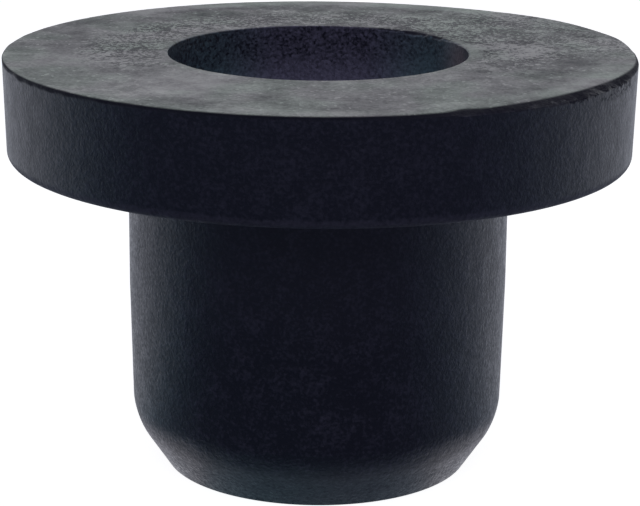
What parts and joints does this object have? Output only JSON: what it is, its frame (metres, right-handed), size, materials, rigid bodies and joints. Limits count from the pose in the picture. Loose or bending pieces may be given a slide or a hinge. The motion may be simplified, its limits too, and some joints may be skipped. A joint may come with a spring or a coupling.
{
  "type": "top hat grommet",
  "caption": "Moulded rubber top hat grommet: a thick round flange on a hollow sleeve with a bevelled nose, which seals a barbed hose fitting in a drilled hole.",
  "frame": {"origin": "on the bore's axis, in the plane of the seat, which is the flange's underside", "axes": "+Z along the bore, from the bevelled nose up to the flange's top face; the part is round, so X and Y are free"},
  "size_m": [0.0318, 0.0318, 0.0213],
  "materials": {
    "rubber": "matte"
  },
  "bodies": {
    "root": {"grommet": "rubber"}
  },
  "joints": []
}
